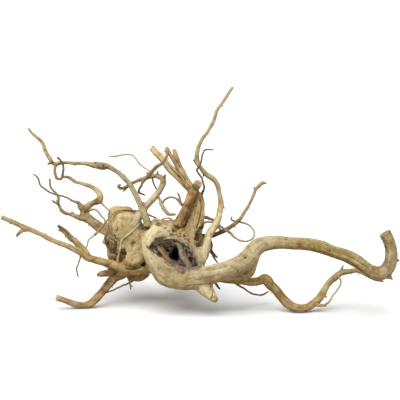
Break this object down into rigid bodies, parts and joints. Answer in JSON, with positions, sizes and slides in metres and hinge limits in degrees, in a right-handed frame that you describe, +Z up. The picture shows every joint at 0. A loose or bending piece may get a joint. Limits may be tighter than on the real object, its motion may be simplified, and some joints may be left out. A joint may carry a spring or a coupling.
{
  "type": "aquarium driftwood root",
  "caption": "Natural branching root burl of light wood with a hollow knot, a thick curved limb and many thin twisted rootlets, for decorating an aquarium.",
  "frame": {"origin": "on the floor, under the middle of the root's box", "axes": "+Z up, +X towards the end of the thick limb (the picture's right), +Y away from the side with the hollow"},
  "size_m": [0.3922, 0.1643, 0.2184],
  "materials": {
    "peeled_wood": "dry, bare, matt"
  },
  "bodies": {
    "root": {"spiderwood_root": "peeled_wood"}
  },
  "joints": []
}
